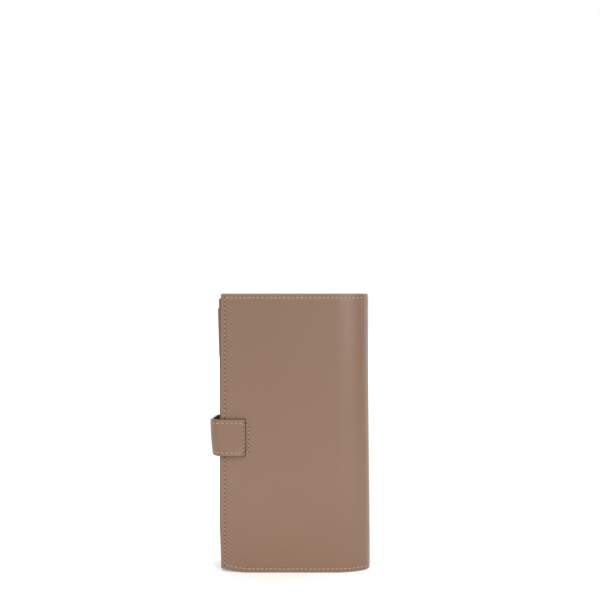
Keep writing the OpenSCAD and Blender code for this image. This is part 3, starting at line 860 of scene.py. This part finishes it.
def flatFace(low, high):
    # wall whose outer face is its low y side, with a pressed line beside its mouth
    path = layPath((low.x, low.y + pocket["setBack"]), 0, [(high.x - low.x, 0)], 1)

    def face(s, z):
        point, normal = along(path, s)
        middle = math.sin(math.pi * (z - low.z) / (high.z - low.z)) ** 2
        fromMouth = high.x - low.x - s
        rise = pocket["swell"] * middle * ease(s / 10)
        rise -= pocket["creaseDepth"] * bell(fromMouth - pocket["creaseInset"], pocket["creaseWidth"])
        point = point + normal * rise
        point.z = z
        return point, normal
    return face, path["length"]


def makePocket(node, name):
    low, high = corners(node)
    face, width = flatFace(low, high)
    cut = {**pocketCut, "thickness": high.y - low.y - pocket["skived"], "steps": (4, 6)}
    wall = makeSheet(name, face, (0, width), (low.z, high.z), cut, allCut, pocketLayers)
    settle(wall, [node], "front_half")
    return face, low, high


makePocket("slip_pocket", "slipPocketWall")
cardWalls = []
while "card_pocket_%d" % (len(cardWalls) + 1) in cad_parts:
    number = len(cardWalls) + 1
    cardWalls.append(makePocket("card_pocket_%d" % number, "cardPocketWall%d" % number))


def sewCards():
    # each row steps down from wall to wall, so it is sewn strip by strip
    for i, (face, low, high) in enumerate(cardWalls):
        last = i == len(cardWalls) - 1
        start = 0.8 if last else cardWalls[i + 1][2].x - low.x + pocket["seamEnd"]
        end = high.x - low.x - pocket["seamEnd"]
        rows = [((start, z), (end, z)) for z in
                (low.z + pocket["seamInset"], (low.z + high.z) / 2, high.z - pocket["seamInset"])]
        if last:
            inner = pocket["seamInset"]
            rows.append(((inner, low.z + inner), (inner, high.z - inner)))
        stitches = sewRows("cardStitches%d" % (i + 1), face, rows)
        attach(stitches, "front_half")


sewCards()
print("card pockets stacked")


coin = {
    "standOut": 1.2,          # of the open edge, at half height
    "lowOut": 0.35,           # and at the foot
    "lowReach": 30,
    "leanFrom": 0.6,          # share of the height where the walls start to lean out
    "setBack": 0.1,
    "swell": 0.25,
    "creaseInset": 11,
    "creaseDepth": 0.12,
    "seamInset": 2.6,
    "zipSeam": 6.4,           # from the mouth to the row that holds the zip's tape
    "zipSeamEnd": 14,
    "bellows": 0.5,
    "bellowsIn": 2.6,
}


def makeCoinWall(node, name, side):
    # the free side leans out of the open edge towards its top; side is -1 where low y is outside
    low, high = corners(node)
    halfOut = edgeX - coin["standOut"]
    leanFromZ = coin["leanFrom"] * coverHeight
    width = high.x - low.x
    faceY = low.y + coin["setBack"] if side < 0 else high.y - coin["setBack"]

    def leftSide(z):
        towardsFoot = ease(1 - (z - low.z) / coin["lowReach"])
        lean = max(0, (z - leanFromZ) / (high.z - leanFromZ))
        return halfOut + (coin["standOut"] - coin["lowOut"]) * towardsFoot + (low.x - halfOut) * lean

    def face(s, z):
        left = leftSide(z)
        share = s / width
        x = left + (high.x - left) * share
        middle = math.sin(math.pi * (z - low.z) / (high.z - low.z)) ** 2
        fromMouth = (1 - share) * width
        rise = coin["swell"] * middle * math.sin(math.pi * share)
        rise -= coin["creaseDepth"] * bell(fromMouth - coin["creaseInset"], 0.4)
        return Vector((x, faceY + side * rise, z)), Vector((0, side, 0))

    cut = {**pocketCut, "thickness": high.y - low.y - pocket["skived"], "steps": (4, 5)}
    wall = makeSheet(name, face, (0, width), (low.z, high.z), cut, allCut, pocketLayers)
    left, right, zipRow = coin["seamInset"], width - 1.5, width - coin["zipSeam"]
    foot, top = low.z + coin["seamInset"], high.z - coin["seamInset"]
    stitches = sewRows(name + "Stitches", face, [
        ((left, top), (left, foot)),
        ((left, foot), (right, foot)),
        ((left, top), (right, top)),
        ((zipRow, high.z - coin["zipSeamEnd"]), (zipRow, low.z + coin["zipSeamEnd"])),
    ])
    settle(wall, [node], "back_half")
    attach(stitches, "back_half")


makeCoinWall("coin_back_wall", "coinBackWall", -1)
makeCoinWall("coin_front_wall", "coinFrontWall", 1)


def makeGusset():
    # bellows folded inwards round three sides, mitred at the two corners
    low, high = corners("coin_gusset")
    deep, half = coin["bellowsIn"], (high.y - low.y) / 2 - 0.06
    middleY = (low.y + high.y) / 2
    section = []
    for i in range(9):
        t = i / 8 * 2 - 1
        section.append((deep * (1 - abs(t) ** 1.6), half * t))
    turns = [(high.x, low.z, 0, 1), (low.x, low.z, 1, 1), (low.x, high.z, 1, -1), (high.x, high.z, 0, -1)]
    points, uvs, faces = [], [], []
    run = 0
    for k, (x, z, inX, inZ) in enumerate(turns):
        if k:
            run += math.hypot(x - turns[k - 1][0], z - turns[k - 1][1])
        for skin in (0, coin["bellows"]):
            for inward, y in section:
                points.append(Vector((x + inX * (inward + skin), middleY + y, z + inZ * (inward + skin))))
                uvs.append((run, y + 10 + skin))
    count = len(section)

    def at(k, skin, i):
        return (2 * k + skin) * count + i

    for k in range(len(turns) - 1):
        for i in range(count - 1):
            faces.append([at(k, 0, i), at(k + 1, 0, i), at(k + 1, 0, i + 1), at(k, 0, i + 1)])
            faces.append([at(k, 1, i), at(k, 1, i + 1), at(k + 1, 1, i + 1), at(k + 1, 1, i)])
        for i in (0, count - 1):
            faces.append([at(k, 0, i), at(k, 1, i), at(k + 1, 1, i), at(k + 1, 0, i)])
    for k in (0, len(turns) - 1):
        for i in range(count - 1):
            faces.append([at(k, 0, i), at(k, 0, i + 1), at(k, 1, i + 1), at(k, 1, i)])
    bellows = buildMesh("coinBellows", points, faces, [suedeLiningAndShade], None, uvs, [0.0] * len(points))
    settle(bellows, ["coin_gusset"], "back_half")


makeGusset()
print("coin pocket folded")


zipSizes = {
    "pitch": 2.1,
    "toothLength": 1.15,
    "keepClear": 0.28,        # from the zip's middle, which the slider's neck runs in
    "tapeBend": 0.7,
    "tapeThickness": 0.5,
    "rowGap": 0.5,            # from the zip's middle to each row in the frame
    "sides": 8,               # of a tooth's section
}


def makeTape(node, name, side):
    # from the teeth out to the coin pocket's wall and back along it
    low, high = corners(node)
    wallY = high.y if side > 0 else low.y
    startY = low.y if side > 0 else high.y
    outLength = abs(wallY - startY) - zipSizes["tapeBend"]
    backLength = high.x - low.x - zipSizes["tapeBend"]
    path = layPath((high.x, startY), 90 * side, [
        (outLength, 0), (zipSizes["tapeBend"] * quarter, 90 * side), (backLength, 0)], side)

    def face(s, z):
        point, normal = along(path, s)
        point.z = z
        return point, normal

    cut = {"thickness": zipSizes["tapeThickness"], "roundOut": 0.15, "roundIn": 0.15, "steps": (1.5, 6)}
    tape = makeSheet(name, face, (0, path["length"]), (low.z, high.z), cut, allCut, [zipTape] * 3)
    settle(tape, [node], "back_half")


makeTape("zip_tape_back", "zipTapeBack", -1)
makeTape("zip_tape_front", "zipTapeFront", 1)


def squared(share):
    # fills a round section out towards its corners
    return math.copysign(min(1, abs(share) * 1.08), share)


def makeTeeth(node, name, side):
    # stamped teeth clamped on the tape, each with a dished head towards the other row
    low, high = corners(node)
    zipY = low.y - zipSizes["rowGap"] if side > 0 else high.y + zipSizes["rowGap"]
    middleX = (low.x + high.x) / 2
    thick = (high.x - low.x) / 2
    reach = high.y - low.y + zipSizes["rowGap"]
    sides = zipSizes["sides"]
    points, faces = [], []
    offset = 0 if side > 0 else zipSizes["pitch"] / 2
    count = int((high.z - low.z - offset) / zipSizes["pitch"])
    # outline of half a tooth: distance from the zip's middle, half thickness, half length
    outline = [(zipSizes["keepClear"], 0.55, 0.3), (0.42, 0.85, 0.42), (0.85, 0.9, 0.46),
               (1.1, 0.72, 0.36), (1.5, 0.95, 0.5), (reach - 0.15, 1.0, 0.5), (reach, 0.8, 0.4)]
    for k in range(count):
        z = low.z + offset + zipSizes["pitch"] * (k + 0.35)
        base = len(points)
        for out, wide, tall in outline:
            for i in range(sides):
                turn = 2 * math.pi * (i + 0.5) / sides
                x = thick * wide * squared(math.cos(turn))
                h = zipSizes["toothLength"] * tall * squared(math.sin(turn))
                points.append(Vector((middleX + x, zipY + side * out, z + h)))
        for r in range(len(outline) - 1):
            for i in range(sides):
                j = (i + 1) % sides
                a, b = base + sides * r, base + sides * (r + 1)
                quad = [a + i, b + i, b + j, a + j]
                faces.append(quad if side > 0 else quad[::-1])
        lastRing = base + sides * (len(outline) - 1)
        ends = [[base + i for i in range(sides)], [lastRing + i for i in reversed(range(sides))]]
        faces += ends if side > 0 else [e[::-1] for e in ends]
    teeth = buildMesh(name, points, faces, [brass])
    teeth.data.polygons.foreach_set("use_smooth", [False] * len(faces))
    settle(teeth, [node], "back_half")


makeTeeth("zip_teeth_back", "zipTeethBack", -1)
makeTeeth("zip_teeth_front", "zipTeethFront", 1)
print("zip toothed")


# pieces that keep the shape they have in the frame, with a finish of their own
finishes = {
    brass: ["zip_bottom_stop", "zip_top_stop", "zip_slider", "zip_puller",
            "snap_cap", "snap_socket", "snap_stud", "snap_post"],
    springSteel: ["snap_spring"],
}
for material, names in finishes.items():
    for name in names:
        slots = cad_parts[name].data.materials
        slots.clear()
        slots.append(material)


# a white light tent with a window high in front, three softboxes and a black flag
studio = {
    "floorRadius": 4.0,       # this and the places below are in metres
    "cameraDistance": 0.450,  # from the back cover's face
    "cameraHeight": 0.1856,
    "cameraSide": 0.00615,
    "lens": 39.7,
    "keyStrength": 1.42,
    "keyHeight": 44,          # degrees above the horizon
    "keySide": -6,
    "keySpread": 20,
    "tentStrength": 1.0,
    "flagPlace": (0.45, -0.22, 0.02),
    "flagSize": (0.18, 0.6),
    # place, what it is turned to, size, watts, and whether the leather's gloss shows it
    "softboxes": {
        "bandSoftbox": ((0.6, -1.1, 0.5), (0.03, 0, 0.1), (0.5, 0.8), 6.0, True),
        "spineSoftbox": ((0.9, 0.15, 0.3), (0.05, 0, 0.1), (0.4, 0.8), 1.6, True),
        "rearSoftbox": ((-0.4, 1.6, 0.4), (0, 0, 0.08), (1.2, 0.8), 6.0, True),
        "footLight": ((0, -0.2, 0.02), (0, 0, 0.0), (0.3, 0.02), 0.12, False),
    },
}


def paperMaterial():
    # white studio paper under an even light: no texture, only the faintest contact shadow
    material, tree, shader = newMaterial("seamlessWhitePaper")
    coords = addNode(tree, "ShaderNodeTexCoord").outputs["Object"]
    pulp = addNode(tree, "ShaderNodeTexNoise", inputs={"Vector": coords, "Scale": 300.0, "Detail": 2.0})
    tone = addNode(tree, "ShaderNodeMix", {"data_type": "RGBA"}, {
        0: pulp.outputs["Fac"], 6: paint("EAEAEA"), 7: paint("EFEFEF")})
    setSockets(tree, shader, {"Base Color": tone.outputs[2], "Roughness": 0.9,
                              "Specular IOR Level": 0.1})
    return material


def makeFloor():
    # a wide disc of paper, whose rings crowd together under the object
    rings, spokes = 12, 48
    points = [Vector((0, 0, 0))]
    for r in range(1, rings + 1):
        radius = studio["floorRadius"] * (r / rings) ** 3 / mm
        points += [Vector((radius * math.cos(2 * math.pi * k / spokes),
                           radius * math.sin(2 * math.pi * k / spokes), 0)) for k in range(spokes)]
    faces = [[0, 1 + k, 1 + (k + 1) % spokes] for k in range(spokes)]
    for r in range(rings - 1):
        for k in range(spokes):
            a, b, near, far = k, (k + 1) % spokes, 1 + r * spokes, 1 + (r + 1) * spokes
            faces.append([near + a, far + a, far + b, near + b])
    buildMesh("paperFloor", points, faces, [paperMaterial()])


def addLight(name, kind, settings, turn, place=(0, 0, 0), showsInGloss=True):
    light = bpy.data.lights.new(name, kind)
    for key, value in settings.items():
        setattr(light, key, value)
    obj = bpy.data.objects.new(name, light)
    obj.location = place
    obj.rotation_euler = turn
    obj.visible_glossy = showsInGloss
    bpy.context.scene.collection.objects.link(obj)
    return obj


def addSoftbox(name, place, target, size, watts, showsInGloss):
    turn = (Vector(target) - Vector(place)).to_track_quat("-Z", "Y").to_euler()
    softbox = addLight(name, "AREA", {"shape": "RECTANGLE", "size": size[0], "size_y": size[1],
                                      "energy": watts}, turn, place, showsInGloss)
    softbox.visible_camera = False


def addFlag(name, place, size):
    # black cloth on a frame, which keeps light off one side
    material, tree, shader = newMaterial("blackFlagCloth")
    setSockets(tree, shader, {"Base Color": paint("050505"), "Roughness": 1.0})
    x, y, low = place
    wide, tall = size
    points = [Vector(p) / mm for p in ((x, y - wide, low), (x, y, low), (x, y, low + tall),
                                       (x, y - wide, low + tall))]
    flag = buildMesh(name, points, [[0, 1, 2, 3]], [material])
    flag.visible_camera = False


makeFloor()
# large frosted window high in front, far enough off to light everything evenly
addLight("windowKey", "SUN", {"energy": studio["keyStrength"], "angle": math.radians(studio["keySpread"])},
         (math.radians(90 - studio["keyHeight"]), 0, math.radians(studio["keySide"])))
for softboxName, recipe in studio["softboxes"].items():
    addSoftbox(softboxName, *recipe)
addFlag("rightFlag", studio["flagPlace"], studio["flagSize"])

world = bpy.data.worlds.new("lightTent")
world.use_nodes = True
setSockets(world.node_tree, world.node_tree.nodes["Background"], {
    "Color": paint("FFFFFF"), "Strength": studio["tentStrength"]})
bpy.context.scene.world = world
bpy.context.scene.view_settings.view_transform = "Standard"

camera = bpy.data.cameras.new("camera")
camera.lens = studio["lens"]
camera.sensor_width = 36
cameraObject = bpy.data.objects.new("camera", camera)
cameraObject.location = (studio["cameraSide"], backY * mm - studio["cameraDistance"],
                         studio["cameraHeight"])
cameraObject.rotation_euler = (math.radians(90), 0, 0)
bpy.context.scene.collection.objects.link(cameraObject)
bpy.context.scene.camera = cameraObject
print("studio lit")
